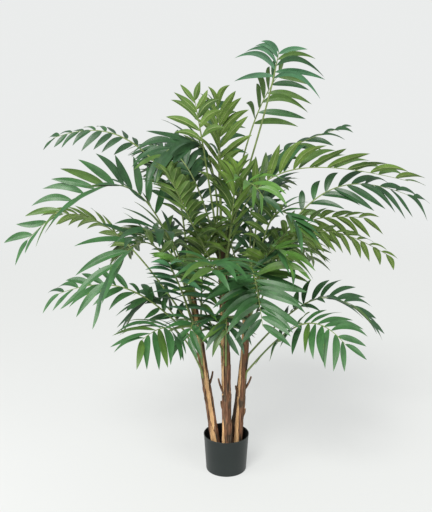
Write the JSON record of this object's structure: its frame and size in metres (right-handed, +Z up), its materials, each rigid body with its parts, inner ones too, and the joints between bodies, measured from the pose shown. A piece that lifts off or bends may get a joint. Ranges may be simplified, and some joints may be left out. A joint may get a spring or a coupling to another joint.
{
  "type": "artificial potted parlor palm",
  "caption": "Artificial parlor palm: wooden stems with arching feather fronds of fabric leaflets, set in the cement fill of a plain round tapered pot.",
  "frame": {"origin": "middle of the pot's flat underside", "axes": "+Z up, -Y towards the viewer of the picture, +X to the viewer's right"},
  "size_m": [1.5257, 1.0316, 1.574],
  "materials": {
    "pot": "satin black moulded plastic",
    "fill": "dull dark cement fill",
    "stem": "natural fibrous brown bark with pale peeled stripes",
    "frond": "printed green fabric leaflets on light green stalks, soft satin sheen"
  },
  "bodies": {
    "root": {"pot": "pot", "fill": "fill", "stem_left": "stem", "stem_centre": "stem", "stem_right": "stem", "stem_back": "stem", "frond_left_high": "frond", "frond_left_mid": "frond", "frond_left_inner": "frond", "frond_left_front": "frond", "frond_left_low": "frond", "frond_left_skirt": "frond", "frond_left_skirt_back": "frond", "frond_left_front_high": "frond", "frond_left_inner_front": "frond", "frond_left_upright": "frond", "frond_front_left_high": "frond", "frond_high_left_rear": "frond", "frond_back_upright": "frond", "frond_upper_centre": "frond", "frond_crown_top": "frond", "frond_crown_tip": "frond", "frond_right_high": "frond", "frond_right_long": "frond", "frond_right_second": "frond", "frond_right_mid": "frond", "frond_right_arc": "frond", "frond_right_inner": "frond", "frond_right_inner_front": "frond", "frond_front_right": "frond", "frond_right_skirt_back": "frond", "frond_right_skirt": "frond", "frond_front_left_low": "frond", "frond_front_centre": "frond", "frond_front_bright": "frond", "frond_front_high": "frond", "frond_centre_left_mid": "frond", "frond_front_low": "frond", "frond_right_front_high": "frond", "frond_back_left_high": "frond", "frond_back_left_low": "frond", "frond_back_right_high": "frond", "frond_back_right_low": "frond", "frond_rear_left": "frond", "frond_rear_low": "frond", "frond_rear_right": "frond", "frond_rear_high": "frond", "frond_left_comb": "frond", "frond_left_low_front": "frond"}
  },
  "joints": []
}
